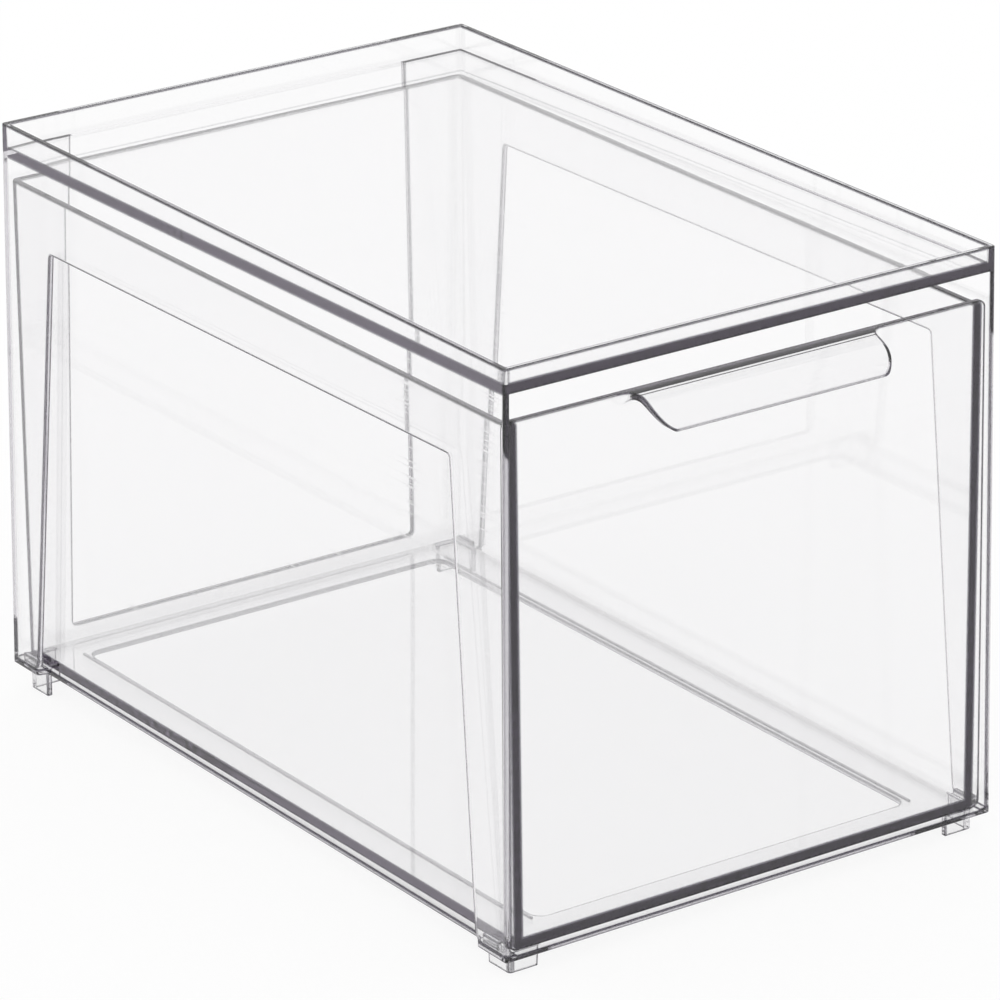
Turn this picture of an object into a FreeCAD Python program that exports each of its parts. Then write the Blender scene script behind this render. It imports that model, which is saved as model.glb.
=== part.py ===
import FreeCAD, Part
import math
import os

# A stackable pull-out drawer bin in clear moulded plastic, made of three mouldings:
#   case_shell  the tall case: top plate with a stacking lip, side and rear frames, four legs
#   base_tray   the frame that closes the case's open bottom, with ears under the legs and feet
#   drawer      the deep tub that slides out of the open front, with a lipped front panel
#
# Millimetres. The pieces are built upright, with X to the right, Y to the back and Z up,
# Z = 0 under the tray's ears and X = Y = 0 in the middle of the case. The feet are longer
# at the back and the top plate slopes to match, so the last step leans the whole bin
# forward on to the plane of its feet and puts the origin under the middle of its box.

Vector = FreeCAD.Vector

# ---------------------------------------------------------------- driving dimensions
case_width = 190.2          # outside, across the front of the stacking lip
case_depth = 292.0          # outside, front to back, at the stacking lip
case_height = 195.7         # from under the ears to the top of the lip
side_draft = 1.1            # each side stands this much further in at the back
flare = 1.8                 # how far each wall leans out from the lip down to the ears
wall = 2.0                  # case walls and stacking lip
plate = 2.8                 # top plate
case_corner = 1.2           # upright corners of the case, outside
case_inner_corner = 0.6     # and inside
lip_front = 5.5             # depth of the stacking recess at the front
lip_rear = 8.4              # and at the back
lip_draft = 0.1             # the lip is this much thicker at its root than at its top
edge_round = 0.35           # small rounds on the case's moulded edges
edge_bevel = 0.3            # and bevels on the tray's

window_top_drop = 30.4      # side windows: top edge below the top plate's upper face
leg_width_top = 29.2        # from the case's end to a side window, at the window's top
leg_width_foot = 16.6       # and at the foot of the leg
window_corner = 1.5
leg_round = 3.5             # rounded inner foot of each leg
column_width_top = 26.1     # from the case's side to the rear window, at the top
column_width_foot = 24.4    # and at the foot
rear_rail_top = 9.1         # upper face of the rail below the rear window

tray = 1.7                  # base tray thickness
ear_inset = 3.85            # tray's side edges stand in from the ears' by this much
ear_corner = 2.0
ear_hollow = 1.7
tray_side_rail = 18.1       # width of the tray's frame beside its window
tray_end_rail = 16.6        # and in front of and behind it
tray_window_corner = 4.5
glide_width = 1.0           # low ribs that the drawer runs on
glide_height = 0.45         # the seats under the legs stand as high
glide_beside_window = 1.4
glide_end = 0.4
seat_side = 4.2             # width of the raised seat under the case's sides
seat_rear = 3.0             # and under its rear wall
tongue = 1.7                # upright tongues that locate the legs
tongue_height = 3.2
tongue_length = 8.5
tongue_gap = 0.15           # between a tongue and its leg
tongue_behind_panel = 1.5
tongue_corner = 0.5

foot_wall = 2.0
foot_along_x = 11.4
foot_along_y = 11.6
foot_taper = 0.4
foot_corner = 1.5           # outer corner of a foot's L
foot_end = 0.4              # the other corners
stack_gap = 0.8             # air between two stacked bins
nest_gap = 0.3              # feet inside the lip of the bin below

panel = 2.2                 # drawer's front panel
panel_recess = 1.9          # behind the case's front edges, and leaning with them
panel_side_gap_top = 0.4    # between the panel and the case's sides
panel_side_gap_foot = 1.1
panel_top_gap = 9.6         # below the top plate
panel_corner = 2.6
glide_gap = 0.15            # drawer's underside above the glides
drawer_wall = 2.5
drawer_floor = 2.9
drawer_rim_drop = 1.5       # side and rear walls below the panel's top edge
drawer_side_gap_top = 0.6   # between the tub's rim and the back end of the case's sides
drawer_side_gap_foot = 2.6  # and at the tub's floor
drawer_rear_gap_top = 0.4   # between the tub and the case's rear wall
drawer_rear_gap_foot = 2.4
drawer_corner = 3.0         # upright rear corners of the tub
drawer_foot_round = 0.8     # outer edge round the tub's floor
rim_round = 0.5
panel_round = 0.4

handle_half = 45.8          # half width of the pull lip
handle_reach = 15.7         # how far it stands out of the panel
handle_root_slope = 4.0     # degrees below level where it leaves the panel
handle_tip_slope = 60.0     # degrees below level at its front edge
handle_sheet = 2.0
handle_root_fillet = 2.0
handle_side_sweep = 5.0     # hollow corners where its sides run out into the panel
handle_corner = 7.5
handle_tip_round = 0.6

# ---------------------------------------------------------------- derived sizes
seam = tray + glide_height                     # legs stand on the tray's seats here
plate_slope = (lip_rear - lip_front) / case_depth
lean = math.degrees(math.atan(plate_slope))
drawer_foot = seam + glide_gap
far = case_width + case_depth + case_height    # longer than anything here, for cutters
past = 1.0                                     # how far a cutter runs past what it cuts
touching = 0.01                                # what is nearer than this to a surface lies on it
places_along = 5                               # places on an edge where it is held to an outline


def spread(z):
    """How far the case's walls stand out at height z, beyond their place at the lip."""
    return flare * (case_height - z) / case_height


def case_side(y, z):
    """Half width of the case's outside: it narrows towards the back and towards the lip."""
    return case_width / 2 + spread(z) - side_draft * (y + case_depth / 2) / case_depth


def case_end(z):
    """Half depth of the case's outside at height z."""
    return case_depth / 2 + spread(z)


def plate_face(y):
    """Height of the top plate's upper face: it falls towards the back."""
    return case_height - lip_front - plate_slope * (y + case_depth / 2)


def ground(y):
    """Height of the plane of the feet, parallel to the top plate."""
    return plate_face(y) - case_height - stack_gap


def panel_face(z):
    """y of the panel's front face: it leans with the case's front edges."""
    return panel_recess - case_end(z)


tray_half_y = case_end(0)
tray_window_half_x = case_side(case_depth / 2, 0) - ear_inset - tray_side_rail
tray_window_half_y = tray_half_y - tray_end_rail
window_top_half = case_depth / 2 - leg_width_top
window_foot_half = tray_half_y - leg_width_foot
rear_window_top_half = case_side(case_depth / 2, case_height) - column_width_top
rear_window_foot_half = case_side(tray_half_y, 0) - column_width_foot
panel_top = plate_face(-case_depth / 2) - plate - panel_top_gap
drawer_rim = panel_top - drawer_rim_drop


def rounded_outline(corners, to_point):
    """A closed wire through corners (a, b, radius), each rounded by a tangent arc."""
    edges = []
    ends = []
    count = len(corners)
    for i in range(count):
        here = Vector(corners[i][0], corners[i][1], 0)
        radius = corners[i][2]
        before = Vector(corners[i - 1][0], corners[i - 1][1], 0)
        after = Vector(corners[(i + 1) % count][0], corners[(i + 1) % count][1], 0)
        back = (before - here).normalize()
        onward = (after - here).normalize()
        if radius == 0:
            ends.append((here, here))
            continue
        half_angle = back.getAngle(onward) / 2
        reach = radius / math.tan(half_angle)
        start = here + back * reach
        stop = here + onward * reach
        to_centre = (back + onward).normalize()
        middle = here + to_centre * (radius / math.sin(half_angle) - radius)
        ends.append((start, stop))
        arc = Part.Arc(to_point(start.x, start.y), to_point(middle.x, middle.y), to_point(stop.x, stop.y))
        edges.append(arc.toShape())
    for i in range(count):
        leave = ends[i][1]
        arrive = ends[(i + 1) % count][0]
        edges.append(Part.LineSegment(to_point(leave.x, leave.y), to_point(arrive.x, arrive.y)).toShape())
    return Part.Wire(Part.__sortEdges__(edges))


def rectangle(low_x, high_x, low_y, high_y, front_radius, rear_radius):
    """Corners of a plan rectangle, front ones first."""
    return [
        (low_x, low_y, front_radius),
        (high_x, low_y, front_radius),
        (high_x, high_y, rear_radius),
        (low_x, high_y, rear_radius),
    ]


def level_wire(corners, z):
    return rounded_outline(corners, lambda x, y: Vector(x, y, z))


def tapered_block(low_corners, low_z, high_corners, high_z):
    """A solid between two like plan outlines at two heights."""
    return Part.makeLoft([level_wire(low_corners, low_z), level_wire(high_corners, high_z)], True, True)


def upright_block(corners, low_z, high_z):
    face = Part.Face(level_wire(corners, low_z))
    return face.extrude(Vector(0, 0, high_z - low_z))


def side_block(corners, low_x, high_x):
    """A solid with a side view of corners (y, z, radius), from low_x to high_x."""
    face = Part.Face(rounded_outline(corners, lambda y, z: Vector(low_x, y, z)))
    return face.extrude(Vector(high_x - low_x, 0, 0))


def front_block(corners, low_y, high_y):
    """A solid with a front view of corners (x, z, radius), from low_y to high_y."""
    face = Part.Face(rounded_outline(corners, lambda x, z: Vector(x, low_y, z)))
    return face.extrude(Vector(0, high_y - low_y, 0))


def sloping_space(low_offset, high_offset):
    """Everything between two planes parallel to the top plate, offset from its upper face."""
    ends = [-far, far]
    lower = [(y, plate_face(y) + low_offset, 0) for y in ends]
    upper = [(y, plate_face(y) + high_offset, 0) for y in reversed(ends)]
    return side_block(lower + upper, -far, far)


def leaning_block(limits, low_z, high_z, radius, rounded):
    """A block with six flat sides.

    limits(z) gives (front_half_x, rear_half_x, front_y, rear_y) at height z, and the
    upright edges that rounded(edge) picks are filleted.
    """
    levels = []
    for z in (low_z, high_z):
        front_half, rear_half, front, rear = limits(z)
        levels.append([
            Vector(-front_half, front, z), Vector(front_half, front, z),
            Vector(rear_half, rear, z), Vector(-rear_half, rear, z),
        ])
    low, high = levels
    sides = [[low[i - 1], low[i], high[i], high[i - 1]] for i in range(len(low))]
    loops = [low[::-1], high] + sides          # all seen anticlockwise from outside
    faces = [Part.Face(Part.makePolygon(loop + loop[:1])) for loop in loops]
    block = Part.makeSolid(Part.makeShell(faces))
    uprights = [
        edge for edge in block.Edges
        if edge.BoundBox.ZLength > (high_z - low_z) / 2 and rounded(edge)
    ]
    return block.makeFillet(radius, uprights)


def any_corner(edge):
    return True


def rear_corner(edge):
    return edge.BoundBox.YMin > 0


def case_limits(inset):
    """Limits of the case's outside, moved in by inset."""
    def limits(z):
        end = case_end(z) - inset
        return case_side(-end, z) - inset, case_side(end, z) - inset, -end, end
    return limits


def edges_along(shape, outline, flatten):
    """Edges of shape that follow a flat outline once they are flattened on to it."""
    found = []
    for edge in shape.Edges:
        places = [flatten(place) for place in edge.discretize(places_along)]
        runs = max((place - places[0]).Length for place in places) > edge_round
        if runs and max(outline.distToShape(Part.Vertex(place))[0] for place in places) < touching:
            found.append(edge)
    return found


def edges_where(shape, holds):
    """Edges of shape whose ends all satisfy holds(end)."""
    return [edge for edge in shape.Edges if all(holds(end) for end in edge.Vertexes)]


# ---------------------------------------------------------------- case shell
def side_window():
    """Side view of the windows in the case's sides, open at the foot between the legs."""
    run = leg_width_foot + past                 # the outline dips away under each leg's foot
    return [
        (-window_foot_half, seam, leg_round),
        (-window_foot_half - run, seam - past, 0),
        (-window_foot_half - run, seam - 2 * past, 0),
        (window_foot_half + run, seam - 2 * past, 0),
        (window_foot_half + run, seam - past, 0),
        (window_foot_half, seam, leg_round),
        (window_top_half, plate_face(window_top_half) - window_top_drop, window_corner),
        (-window_top_half, plate_face(-window_top_half) - window_top_drop, window_corner),
    ]


def rear_window():
    """Rear view of the window in the case's rear wall, which runs up to the top plate."""
    return [
        (-rear_window_foot_half, rear_rail_top, window_corner),
        (rear_window_foot_half, rear_rail_top, window_corner),
        (rear_window_top_half, case_height, 0),
        (-rear_window_top_half, case_height, 0),
    ]


def shell_edges(body):
    """The case's edges that show: round the windows, the lip's top and the front opening."""
    side = rounded_outline(side_window(), lambda y, z: Vector(0, y, z))
    rear = rounded_outline(rear_window(), lambda x, z: Vector(x, 0, z))
    edges = edges_along(body, side, lambda place: Vector(0, place.y, place.z))
    edges += [
        edge for edge in edges_along(body, rear, lambda place: Vector(place.x, 0, place.z))
        if rear_corner(edge)
    ]
    edges += edges_where(body, lambda end: end.Z > case_height - touching)

    def on_opening(end):
        in_front = abs(end.Y + case_end(end.Z)) < touching
        return in_front and abs(abs(end.X) - case_side(end.Y, end.Z) + wall) < touching

    return edges + edges_where(body, on_opening)


def case_shell():
    body = leaning_block(case_limits(0), seam, case_height, case_corner, any_corner)

    def cavity_limits(z):
        rear = case_end(z) - wall
        return case_side(-far, z) - wall, case_side(rear, z) - wall, -far, rear

    cavity = leaning_block(cavity_limits, seam - past, case_height, case_inner_corner, rear_corner)
    rear_space = front_block(rear_window(), 0, far)
    under_plate = sloping_space(-far, -plate)
    body = body.cut(cavity.fuse(rear_space).common(under_plate))

    def recess_limits(z):
        inset = wall + lip_draft * (case_height - z) / lip_rear
        end = case_depth / 2 - inset
        return case_side(-end, case_height) - inset, case_side(end, case_height) - inset, -end, end

    recess = leaning_block(
        recess_limits, case_height - 2 * lip_rear, case_height + past, case_inner_corner, any_corner
    )
    body = body.cut(recess.common(sloping_space(0, far)))

    body = body.cut(side_block(side_window(), -case_width, case_width))
    return body.makeFillet(edge_round, shell_edges(body))


# ---------------------------------------------------------------- base tray
def tray_outline():
    """Plan outline: ears reach out under the legs, and the sides stand in between them."""
    right = [
        (case_side(-tray_half_y, 0), -tray_half_y, case_corner),
        (case_side(-window_foot_half, 0), -window_foot_half, ear_corner),
        (case_side(-window_foot_half, 0) - ear_inset, -window_foot_half, ear_hollow),
        (case_side(window_foot_half, 0) - ear_inset, window_foot_half, ear_hollow),
        (case_side(window_foot_half, 0), window_foot_half, ear_corner),
        (case_side(tray_half_y, 0), tray_half_y, case_corner),
    ]
    left = [(-x, y, radius) for x, y, radius in reversed(right)]
    return right + left


def foot(side, end):
    """An L-shaped foot with its outer corner towards (side, end), down to the feet's plane."""
    corner_x = case_side(end * case_depth / 2, case_height) - wall - nest_gap
    corner_y = case_depth / 2 - wall - nest_gap

    def corner_of(inset):
        out_x = corner_x - inset / 2
        out_y = corner_y - inset / 2
        in_x = corner_x - foot_along_x + inset
        in_y = corner_y - foot_along_y + inset
        outline = [
            (out_x, out_y, foot_corner),
            (in_x, out_y, foot_end),
            (in_x, out_y - foot_wall, foot_end),
            (out_x - foot_wall, out_y - foot_wall, foot_end),
            (out_x - foot_wall, in_y, foot_end),
            (out_x, in_y, foot_end),
        ]
        return [(side * x, end * y, radius) for x, y, radius in outline]

    deepest = ground(corner_y) - past
    post = tapered_block(corner_of(foot_taper), deepest, corner_of(0), 0)
    below = [(y, ground(y) + drop, 0) for y, drop in ((-far, 0), (far, 0), (far, -far), (-far, -far))]
    post = post.cut(side_block(below, -far, far))
    sole = edges_where(post, lambda end: abs(end.Z - ground(end.Y)) < touching)
    return post.makeChamfer(edge_bevel, sole)


def leg_tongue(side, end):
    """A low upright tongue inside one leg, clear of the drawer."""
    top = tray + tongue_height
    outer_x = case_side(end * case_end(top), top) - wall - tongue_gap
    outer_y = -panel_face(top) - panel - tongue_behind_panel
    low_x, high_x = sorted((side * outer_x, side * (outer_x - tongue)))
    low_y, high_y = sorted((end * outer_y, end * (outer_y - tongue_length)))
    corners = rectangle(low_x, high_x, low_y, high_y, tongue_corner, tongue_corner)
    return upright_block(corners, tray, top)


def base_tray():
    body = upright_block(tray_outline(), 0, seam)
    body = body.makeChamfer(edge_bevel, edges_where(body, lambda end: end.Z < touching))
    seat_end = tray_half_y - seat_rear
    between_seats = [
        (-case_side(-far, 0) + seat_side, -far, 0),
        (case_side(-far, 0) - seat_side, -far, 0),
        (case_side(seat_end, 0) - seat_side, seat_end, 0),
        (-case_side(seat_end, 0) + seat_side, seat_end, 0),
    ]
    body = body.cut(upright_block(between_seats, tray, seam + past))
    beside_window = rectangle(-far, far, -window_foot_half, window_foot_half, 0, 0)
    body = body.cut(upright_block(beside_window, tray, seam + past))
    opening = rectangle(
        -tray_window_half_x, tray_window_half_x, -tray_window_half_y, tray_window_half_y,
        tray_window_corner, tray_window_corner,
    )
    body = body.cut(upright_block(opening, -past, tray + past))
    rim = edges_along(body, level_wire(opening, 0), lambda place: Vector(place.x, place.y, 0))
    body = body.makeChamfer(edge_bevel, rim)
    glide_x = tray_window_half_x + glide_beside_window + glide_width / 2
    for side in (-1, 1):
        low_x = side * glide_x - glide_width / 2
        glide = rectangle(
            low_x, low_x + glide_width, -tray_window_half_y, tray_window_half_y, glide_end, glide_end
        )
        body = body.fuse(upright_block(glide, tray, tray + glide_height))
        for end in (-1, 1):
            body = body.fuse(foot(side, end))
            body = body.fuse(leg_tongue(side, end))
    return body.removeSplitter()


# ---------------------------------------------------------------- drawer
def tub_limits(inset):
    """Limits of the tub's outside, moved in by inset: it is drafted in towards its floor."""
    def limits(z):
        rise = (z - drawer_foot) / (drawer_rim - drawer_foot)

        def between(half_size, gap_foot, gap_top):
            at_foot = half_size(drawer_foot) - wall - gap_foot
            at_rim = half_size(drawer_rim) - wall - gap_top
            return at_foot + (at_rim - at_foot) * rise - inset

        def rear_side(height):
            return case_side(case_depth / 2, height)

        half_x = between(rear_side, drawer_side_gap_foot, drawer_side_gap_top)
        rear = between(case_end, drawer_rear_gap_foot, drawer_rear_gap_top)
        return half_x, half_x, panel_face(z) + panel / 2, rear
    return limits


def tub():
    inside_foot = drawer_foot + drawer_floor
    outside = leaning_block(tub_limits(0), drawer_foot, drawer_rim, drawer_corner, rear_corner)
    inside = leaning_block(
        tub_limits(drawer_wall), inside_foot, drawer_rim + past, drawer_corner - drawer_wall, rear_corner
    )

    def beside_or_behind(edges):
        return [edge for edge in edges if edge.BoundBox.YMax > 0]

    foot_edges = edges_where(outside, lambda end: end.Z < drawer_foot + touching)
    body = outside.makeFillet(drawer_foot_round, beside_or_behind(foot_edges)).cut(inside)
    rim = edges_where(body, lambda end: end.Z > drawer_rim - touching)
    return body.makeFillet(rim_round, beside_or_behind(rim))


def front_panel():
    def half_width(z, gap):
        return case_side(panel_face(z), z) - wall - gap

    half_foot = half_width(drawer_foot, panel_side_gap_foot)
    half_top = half_width(panel_top, panel_side_gap_top)
    outline = [
        (-half_foot, drawer_foot, panel_corner),
        (half_foot, drawer_foot, panel_corner),
        (half_top, panel_top, panel_corner),
        (-half_top, panel_top, panel_corner),
    ]
    faces = [
        (panel_face(z) + depth, z, 0)
        for z, depth in ((0, 0), (0, panel), (case_height, panel), (case_height, 0))
    ]
    body = front_block(outline, -far, 0).common(side_block(faces, -far, far))

    def on_a_face(edge):
        depths = [end.Y - panel_face(end.Z) for end in edge.Vertexes]
        return max(depths) < touching or min(depths) > panel - touching

    return body.makeFillet(panel_round, [edge for edge in body.Edges if on_a_face(edge)])


def pull_lip():
    """The pull: a curved sheet that leaves the panel's top edge, reaches out and droops."""
    face = panel_face(panel_top)
    root = math.radians(handle_root_slope)
    tip = math.radians(handle_tip_slope)
    outer = handle_reach / (math.sin(tip) - math.sin(root))
    inner = outer - handle_sheet
    centre_u = -outer * math.sin(root)          # u is the reach in front of the panel
    centre_z = panel_top - outer * math.cos(root)

    def on_arc(radius, slope):
        return centre_u + radius * math.sin(slope), centre_z + radius * math.cos(slope)

    # the fillet under the root touches the panel's face and the sheet's underside
    fillet_u = handle_root_fillet
    fillet_span = inner - handle_root_fillet
    fillet_z = centre_z + math.sqrt(fillet_span ** 2 - (fillet_u - centre_u) ** 2)
    touch_slope = math.asin((fillet_u - centre_u) / fillet_span)
    middle_turn = (math.pi + math.pi / 2 - touch_slope) / 2
    fillet_mid = (
        fillet_u + handle_root_fillet * math.cos(middle_turn),
        fillet_z + handle_root_fillet * math.sin(middle_turn),
    )

    def point(place):
        return Vector(-case_width / 2, face - place[0], place[1])

    middle_slope = (root + tip) / 2
    under_slope = (touch_slope + tip) / 2
    behind = -panel / 2
    stations = [
        (behind, panel_top), (0, panel_top), on_arc(outer, middle_slope), on_arc(outer, tip),
        on_arc(inner, tip), on_arc(inner, under_slope), on_arc(inner, touch_slope),
        fillet_mid, (0, fillet_z), (behind, fillet_z),
    ]
    p = [point(place) for place in stations]
    edges = [
        Part.LineSegment(p[0], p[1]).toShape(),
        Part.Arc(p[1], p[2], p[3]).toShape(),
        Part.LineSegment(p[3], p[4]).toShape(),
        Part.Arc(p[4], p[5], p[6]).toShape(),
        Part.Arc(p[6], p[7], p[8]).toShape(),
        Part.LineSegment(p[8], p[9]).toShape(),
        Part.LineSegment(p[9], p[0]).toShape(),
    ]
    sheet = Part.Face(Part.Wire(edges)).extrude(Vector(case_width, 0, 0))
    tip_ends = [p[3], p[4]]

    front = face - handle_reach - handle_tip_round       # just ahead of the sheet's tip
    ends = handle_half + handle_side_sweep + past
    plan = [
        (-ends, face - behind, 0),
        (-ends, face, 0),
        (-handle_half, face, handle_side_sweep),
        (-handle_half, front, handle_corner),
        (handle_half, front, handle_corner),
        (handle_half, face, handle_side_sweep),
        (ends, face, 0),
        (ends, face - behind, 0),
    ]
    body = sheet.common(upright_block(plan, 0, case_height))

    def at_tip(end):
        return any(math.hypot(end.Y - tip_end.y, end.Z - tip_end.z) < touching for tip_end in tip_ends)

    tip_edges = [edge for edge in edges_where(body, at_tip) if edge.BoundBox.XLength > handle_half]
    return body.makeFillet(handle_tip_round, tip_edges)


def drawer():
    return tub().fuse([front_panel(), pull_lip()]).removeSplitter()


# ---------------------------------------------------------------- stand it on its feet
nodes = {"case_shell": case_shell(), "base_tray": base_tray(), "drawer": drawer()}

for shape in nodes.values():
    shape.rotate(Vector(0, 0, 0), Vector(1, 0, 0), lean)

box = FreeCAD.BoundBox()
for shape in nodes.values():
    box.add(shape.optimalBoundingBox(False, False))

os.makedirs("parts", exist_ok=True)
for name, shape in nodes.items():
    shape.translate(Vector(-box.Center.x, -box.Center.y, -box.ZMin))
    shape.exportStep("parts/" + name + ".step")
    print(name, "valid", shape.isValid(), "volume cm3", round(shape.Volume / 1000, 1))
print("size", round(box.XLength, 2), round(box.YLength, 2), round(box.ZLength, 2), "lean", round(lean, 4))
print("offset", round(-box.Center.x, 3), round(-box.Center.y, 3), round(-box.ZMin, 3))
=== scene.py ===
# %% [markdown]
# This is a stackable bin of clear plastic for cotton pads. Three mouldings make it: the tall
# case with a raised lip round its top plate, the tray the case stands on, and the deep drawer
# with its drooping pull. Their shapes come ready from the CAD model, and only the corners of
# the pull are modelled here. The lesson is about clear plastic: what makes it look clear, and
# what makes its edges look dark.

# %% The CAD model
import math

import bpy
from mathutils import Matrix, Vector


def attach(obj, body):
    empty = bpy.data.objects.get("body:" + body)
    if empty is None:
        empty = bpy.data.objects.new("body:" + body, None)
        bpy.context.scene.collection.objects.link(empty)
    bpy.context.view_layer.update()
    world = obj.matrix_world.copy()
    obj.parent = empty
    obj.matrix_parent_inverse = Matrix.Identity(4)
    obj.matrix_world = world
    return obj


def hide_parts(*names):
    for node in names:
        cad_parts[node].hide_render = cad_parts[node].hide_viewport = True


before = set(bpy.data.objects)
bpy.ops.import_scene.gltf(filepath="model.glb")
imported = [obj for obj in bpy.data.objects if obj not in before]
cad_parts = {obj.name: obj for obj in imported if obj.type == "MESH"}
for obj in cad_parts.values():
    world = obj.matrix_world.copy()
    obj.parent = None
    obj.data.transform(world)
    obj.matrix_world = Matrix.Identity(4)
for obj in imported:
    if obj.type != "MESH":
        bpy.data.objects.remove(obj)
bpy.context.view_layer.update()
for name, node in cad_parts.items():
    print(name, "has", len(node.data.polygons), "triangles")

# %% [markdown]
# The camera stands two metres away with a long lens, so the bin's edges stay almost parallel.
# It could be placed by hand until the view looks right. Here it is placed by what a
# photographer would say: what it aims at, how far off it stands, how far round from the
# front and how high, and how much it is tipped to one side.

# %% The camera
AIM = Vector((0.00156, -0.00060, 0.09432))
DISTANCE = 2.0899
ROUND_FROM_FRONT = math.radians(-35.0762)
HEIGHT_ANGLE = math.radians(21.1712)
TIPPED = math.radians(-0.6915)
LENS_MM = 227.833
SENSOR_MM = 36.0

towards = Vector((
    math.sin(ROUND_FROM_FRONT) * math.cos(HEIGHT_ANGLE),
    -math.cos(ROUND_FROM_FRONT) * math.cos(HEIGHT_ANGLE),
    math.sin(HEIGHT_ANGLE),
))
camera_data = bpy.data.cameras.new("camera")
camera_data.lens = LENS_MM
camera_data.sensor_width = SENSOR_MM
camera = bpy.data.objects.new("camera", camera_data)
bpy.context.scene.collection.objects.link(camera)
upright = towards.to_track_quat("Z", "Y").to_matrix()
tilt = Matrix.Rotation(TIPPED, 3, "Z")
camera.matrix_world = Matrix.Translation(AIM + towards * DISTANCE) @ (upright @ tilt).to_4x4()
bpy.context.scene.camera = camera
print("camera at", [round(value, 3) for value in camera.location])

# %% [markdown]
# A colour picker gives colours as sRGB hex, but shaders work in linear light. One function
# turns the first into the second. Another adds a node with its settings, its values and the
# outputs that feed it, so that a material reads as a list of what it is made of.

# %% Helpers for colours and nodes
def linear(hex_colour):
    channels = []
    for start in (0, 2, 4):
        value = int(hex_colour[start:start + 2], 16) / 255
        channels.append(value / 12.92 if value <= 0.04045 else ((value + 0.055) / 1.055) ** 2.4)
    return (*channels, 1.0)


def add(tree, kind, settings=None, values=None, links=None):
    """Add a node with its settings, its socket values and the outputs that feed it."""
    node = tree.nodes.new(kind)
    for key, value in (settings or {}).items():
        setattr(node, key, value)
    for key, value in (values or {}).items():
        node.inputs[key].default_value = value
    for key, output in (links or {}).items():
        tree.links.new(output, node.inputs[key])
    return node


def new_material(name):
    material = bpy.data.materials.new(name)
    material.use_nodes = True
    material.node_tree.nodes.clear()
    return material


MM = 0.001                                  # the scene is in metres
WHITE = linear("FFFFFF")
print("white is", [round(value, 3) for value in WHITE])

# %% [markdown]
# The drawer's pull ends in two wide round corners, so that no point catches a finger. In the
# CAD model it is rounded as seen from above, but its tip droops so steeply that from the front
# its corners still look sharp. They could be pushed round by hand, point by point. A boolean
# cut is surer: two cutters, each a block with a quarter of a cylinder taken out of it, take
# the corners off and leave all the rest as it was. The CAD node stays untouched: the cut is
# made in a copy, which then stands in for it.

# %% Helpers for a cut
def alone(piece):
    """Select this piece and nothing else."""
    bpy.ops.object.select_all(action="DESELECT")
    piece.select_set(True)
    bpy.context.view_layer.objects.active = piece


def cut(piece, cutter):
    """Take the cutter's shape out of the piece, and the cutter out of the scene."""
    alone(piece)
    difference = piece.modifiers.new("cut", "BOOLEAN")
    difference.operation = "DIFFERENCE"
    difference.solver = "EXACT"
    difference.object = cutter
    bpy.ops.object.modifier_apply(modifier=difference.name)
    bpy.data.objects.remove(cutter)


print("to be cut: a copy of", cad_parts["drawer"].name)

# %% [markdown]
# The CAD mesh comes in patches that touch but aren't joined, so it has no inside for a cut to
# work on. The copy's points are joined first, and its creases are kept where its shading
# breaks.

# %% A copy of the drawer
SAME_POINT = 0.001 * MM

drawer = bpy.data.objects.new("drawer_round_pull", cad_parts["drawer"].data.copy())
bpy.context.scene.collection.objects.link(drawer)
alone(drawer)
bpy.ops.object.mode_set(mode="EDIT")
bpy.ops.mesh.select_all(action="SELECT")
bpy.ops.mesh.remove_doubles(threshold=SAME_POINT, use_sharp_edge_from_normals=True)
bpy.ops.object.mode_set(mode="OBJECT")
print("the copy has", len(drawer.data.vertices), "points")

# %% [markdown]
# Where the pull's tip is, is read off the copy itself: its foremost points are the tip, the
# widest of them give its sides and the lowest its bottom edge.

# %% The pull's tip
TIP_DEPTH = 10 * MM                         # what lies this near the foremost point

tip_front = min(point.co.y for point in drawer.data.vertices)
tip = [point.co for point in drawer.data.vertices if point.co.y < tip_front + TIP_DEPTH]
half_width = max(abs(co.x) for co in tip)
tip_bottom = min(co.z for co in tip)
print("the pull is", round(2 * half_width / MM, 1), "mm wide")

# %% The pull's corners
CORNER_ROUND = 8.5 * MM
PAST = 0.1 * MM                             # how far a cutter stands clear of a side
CYLINDER_SIDES = 96
ALONG_Y = (math.radians(90), 0, 0)

middle_y = tip_front + TIP_DEPTH / 2
for side in (-1, 1):
    centre = (side * (half_width + PAST - CORNER_ROUND), middle_y, tip_bottom + CORNER_ROUND)
    bpy.ops.mesh.primitive_cube_add(size=1, location=(
        centre[0] + side * CORNER_ROUND / 2, middle_y, centre[2] - CORNER_ROUND / 2))
    corner = bpy.context.object
    corner.scale = (CORNER_ROUND, TIP_DEPTH, CORNER_ROUND)
    bpy.ops.object.transform_apply(location=True, rotation=False, scale=True)
    bpy.ops.transform.translate(value=(side * PAST, 0, -PAST))
    bpy.ops.mesh.primitive_cylinder_add(
        vertices=CYLINDER_SIDES, radius=CORNER_ROUND, depth=2 * TIP_DEPTH, location=centre,
        rotation=ALONG_Y)
    cut(corner, bpy.context.object)
    cut(drawer, corner)
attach(drawer, "drawer")
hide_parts("drawer")
print("its corners are cut to a round of", round(CORNER_ROUND / MM, 1), "mm")

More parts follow.
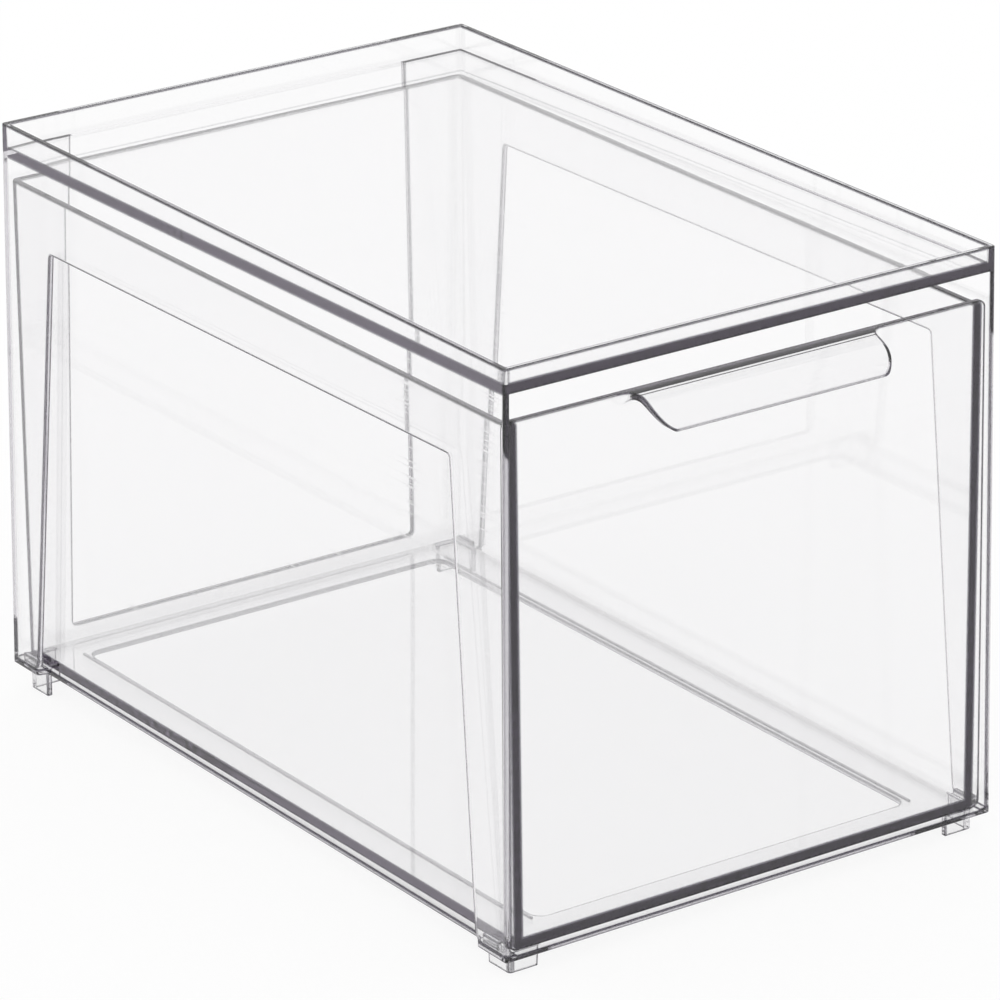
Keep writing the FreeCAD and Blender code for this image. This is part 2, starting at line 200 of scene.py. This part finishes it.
# %% [markdown]
# The bin is crystal styrene, injection moulded in polished steel. To the eye that is a hard,
# glossy, water-clear sheet: sharp reflections, and hardly any colour through a wall of two
# millimetres.
#
# A long way through the plastic is another matter. Light that enters at an edge is held
# inside the sheet and runs along it, and what comes out at the far edge has crossed the whole
# width of the bin. That is why the edge of the top plate, the ends of the drawer's floor and
# the sides of its front are dark bands. Painting those bands would be one way. The way chosen
# is a volume that takes a little of the light from every millimetre, because then each band
# falls where the plastic is long, from any side. Styrene takes a little more green than red
# and blue, so the dark is a violet grey.

# %% What the body of the plastic takes
PASSES = linear("BBB5C0")
TAKEN_PER_METRE = 19.0
GREEN = 1

for name, way in (("through a wall", 2 * MM), ("across the bin", 190 * MM)):
    left = math.exp(-TAKEN_PER_METRE * (1 - PASSES[GREEN]) * way)
    print("green light left", name, round(left, 3))

# %% [markdown]
# A narrow edge looks darker than a broad face too. It is rounded by a third of a millimetre,
# and the rounding throws the eye's line off to the side, out of the bright part of a room.
# In a studio that is white all round there is nothing dark out there to see, and the edges
# would vanish. Black cards beside the bin would bring them back from one side only. So the
# material paints the shade into its colour: short feelers look inward from the surface, and
# where they soon come out again the plastic is narrow or turns a corner, and the colour is
# darkened there. It is painted shade, standing in for the dark of a room seen in an edge, and
# it holds from every side, and for feet, windows and rims alike.

# %% Painted shade where the plastic is narrow
EDGE_REACH = 1.0 * MM                       # how far the feelers look
FEELERS = 4
ONE_FEELER_OUT = 1 - 1 / FEELERS            # enough to count as narrow
# the colour of the painted shade at edges; haze darkens towards it too
PAINTED_SHADE_AND_HAZE_COLOUR = linear("221F28")


def painted_edge_shade(tree):
    """Painted edge shade: from 0, at an edge, to 1, on a broad face."""
    feelers = add(tree, "ShaderNodeAmbientOcclusion",
                  {"inside": True, "only_local": True, "samples": FEELERS},
                  {"Distance": EDGE_REACH})
    share = add(tree, "ShaderNodeMapRange", values={"From Min": ONE_FEELER_OUT, "From Max": 1.0},
                links={"Value": feelers.outputs["AO"]})
    return share.outputs[0]


print("edges are shaded over", round(EDGE_REACH / MM, 2), "mm")

# %% [markdown]
# No moulding is perfectly flat. It shrinks as it cools, which leaves waves a few thousandths
# of a millimetre high and some centimetres long, and what is seen through it wavers a little.
# The drawer slides on the tray, and over time that leaves fine scuffs along the way it moves.
# Real scuffs are a few hundredths of a millimetre wide. They are drawn coarser than that, so
# that they show at all, and kept faint.

# %% Waves and scuffs
WAVE_LENGTH = 30 * MM
WAVE_HEIGHT = 0.004 * MM
WAVE_DETAIL = 1.0
SCUFF_WIDTH = 0.6 * MM
SCUFF_LENGTH = 60 * MM
SCUFF_DETAIL = 2.0
SCUFFED_ABOVE = 0.56                        # only the pattern's highest parts are scuffs
FULLY_SCUFFED = 0.8


def waves(tree, place):
    swell = add(tree, "ShaderNodeTexNoise", values={
        "Scale": 1 / WAVE_LENGTH, "Detail": WAVE_DETAIL}, links={"Vector": place})
    return add(tree, "ShaderNodeBump", values={"Strength": 1.0, "Distance": WAVE_HEIGHT},
               links={"Height": swell.outputs[0]}).outputs[0]


def scuffs(tree, place):
    """From 0, untouched, to 1, scuffed, in streaks that run front to back."""
    stretch = add(tree, "ShaderNodeMapping", values={
        "Scale": (1 / SCUFF_WIDTH, 1 / SCUFF_LENGTH, 1 / SCUFF_WIDTH)}, links={"Vector": place})
    streaks = add(tree, "ShaderNodeTexNoise", values={
        "Scale": 1.0, "Detail": SCUFF_DETAIL}, links={"Vector": stretch.outputs[0]})
    return add(tree, "ShaderNodeMapRange",
               values={"From Min": SCUFFED_ABOVE, "From Max": FULLY_SCUFFED},
               links={"Value": streaks.outputs[0]}).outputs[0]


print("waves", round(WAVE_LENGTH / MM), "mm long, scuffs", round(SCUFF_LENGTH / MM), "mm long")

# %% [markdown]
# Now the plastic is put together. The surface lets all light in and bends it, as styrene
# does, and is mirror smooth but for the scuffs. Its colour is white on a broad face and dark
# with painted shade where the feelers find an edge. Haze moves it a little towards the dark,
# most of all in a scuff, and on the tray the haze paints in shade as well. The body of the
# plastic is the volume from above.

# %% Clear styrene
STYRENE_IOR = 1.59
POLISHED = 0.0                              # roughness of the untouched surface
SCUFFED = 0.12                              # and of a scuff
# without a scuff this share of the haze is there, and on the tray it paints in shade too
UNSCUFFED_SHARE = 0.5                        # share of the haze that is there without a scuff


def clear_styrene(name, haze_and_painted_shade):
    material = new_material(name)
    tree = material.node_tree
    place = add(tree, "ShaderNodeTexCoord").outputs["Object"]
    worn = scuffs(tree, place)
    clear_of_haze_and_tray_shade = add(tree, "ShaderNodeMapRange", values={
        "To Min": 1.0 - UNSCUFFED_SHARE * haze_and_painted_shade, "To Max": 1.0 - haze_and_painted_shade}, links={"Value": worn})
    # painted edge shade times haze: how near to white the colour stays
    clear = add(tree, "ShaderNodeMath", {"operation": "MULTIPLY"}, links={
        0: painted_edge_shade(tree), 1: clear_of_haze_and_tray_shade.outputs[0]})
    colour = add(tree, "ShaderNodeMix", {"data_type": "RGBA"}, {"A": PAINTED_SHADE_AND_HAZE_COLOUR, "B": WHITE},
                 {"Factor": clear.outputs[0]})
    rough = add(tree, "ShaderNodeMapRange", values={"To Min": POLISHED, "To Max": SCUFFED},
                links={"Value": worn})
    surface = add(tree, "ShaderNodeBsdfPrincipled", values={
        "IOR": STYRENE_IOR, "Transmission Weight": 1.0,
    }, links={
        "Base Color": colour.outputs["Result"], "Roughness": rough.outputs[0],
        "Normal": waves(tree, place),
    })
    body = add(tree, "ShaderNodeVolumeAbsorption", values={
        "Color": PASSES, "Density": TAKEN_PER_METRE})
    add(tree, "ShaderNodeOutputMaterial", links={
        "Surface": surface.outputs["BSDF"], "Volume": body.outputs["Volume"]})
    return material


print("index of refraction", STYRENE_IOR)

# %% [markdown]
# The three mouldings are the same plastic, but they are not worn alike. The case is handled
# and hardly rubbed. The drawer's sides and floor slide. The tray is rubbed on both faces, by
# the drawer above and by the shelf below, and its haze takes the most light. Its haze also
# paints in the shade on the paper under the tray, so the tray's grey is partly scuffs and
# partly painted shade.

# %% The three mouldings
CASE_HAZE = 0.0
DRAWER_HAZE = 0.01
# the tray's value covers its scuffs and also paints in the shade under it
TRAY_HAZE_AND_PAINTED_SHADE = 0.14

case_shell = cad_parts["case_shell"]
base_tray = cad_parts["base_tray"]
for piece, haze_and_painted_shade in ((case_shell, CASE_HAZE), (drawer, DRAWER_HAZE), (base_tray, TRAY_HAZE_AND_PAINTED_SHADE)):
    plastic = clear_styrene("clear_styrene_of_" + piece.name, haze_and_painted_shade)
    for slot in piece.material_slots:
        slot.material = plastic
    print(piece.name, "is", plastic.name)

# %% [markdown]
# The bin stands on a sheet of white paper that runs to the horizon. Paper scatters light
# evenly and has no gloss, so a plain diffuse shader would do. But under a bin like this one it
# comes out grey: the shadow of clear plastic is worked out as if the light could not bend on
# its way through. So the paper is lit from below too, as on a table for photographing
# glassware. Nine tenths of what the eye sees of it, straight or through the plastic, is that
# even glow, and the last tenth is the paper itself, which keeps the bin's shadow.

# %% The floor
FLOOR_SIZE = 12.0
GLOWING = 0.9                               # share of what is seen of the paper

bpy.ops.object.select_all(action="DESELECT")
bpy.ops.mesh.primitive_plane_add(size=FLOOR_SIZE)
floor = bpy.context.object
floor.name = "floor"
paper = new_material("white_paper")
tree = paper.node_tree
sheet = add(tree, "ShaderNodeBsdfDiffuse", values={"Color": WHITE})
glow = add(tree, "ShaderNodeEmission", values={"Color": WHITE, "Strength": 1.0})
ray = add(tree, "ShaderNodeLightPath")
seen = add(tree, "ShaderNodeMath", {"operation": "MAXIMUM"}, links={
    0: ray.outputs["Is Camera Ray"], 1: ray.outputs["Is Glossy Ray"]})
seen = add(tree, "ShaderNodeMath", {"operation": "MAXIMUM"}, links={
    0: seen.outputs[0], 1: ray.outputs["Is Transmission Ray"]})
share = add(tree, "ShaderNodeMath", {"operation": "MULTIPLY"}, {1: GLOWING}, {0: seen.outputs[0]})
paper_seen = add(tree, "ShaderNodeMixShader", links={
    0: share.outputs[0], 1: sheet.outputs[0], 2: glow.outputs[0]})
add(tree, "ShaderNodeOutputMaterial", links={"Surface": paper_seen.outputs[0]})
floor.data.materials.append(paper)
print("floor", FLOOR_SIZE, "m across")

# %% [markdown]
# The studio is a white tent: soft light of the same strength from all sides. Clear plastic
# shows what is behind it and beside it, so an even tent keeps its faces clean and leaves the
# drawing to the edges. A strength of 1 renders a colour as it is written.
#
# Light that gets into a sheet bounces along it dozens of times before it leaves. With
# the usual limit of bounces it is cut off and turns black, so the limit is raised.

# %% The light
MOST_BOUNCES = 64

world = bpy.data.worlds.new("white_tent")
world.use_nodes = True
world.node_tree.nodes["Background"].inputs["Color"].default_value = WHITE
world.node_tree.nodes["Background"].inputs["Strength"].default_value = 1.0
bpy.context.scene.world = world
bpy.context.scene.view_settings.view_transform = "Standard"
cycles = bpy.context.scene.cycles
cycles.max_bounces = MOST_BOUNCES
cycles.transmission_bounces = MOST_BOUNCES
cycles.glossy_bounces = MOST_BOUNCES
print("light may bounce", MOST_BOUNCES, "times")
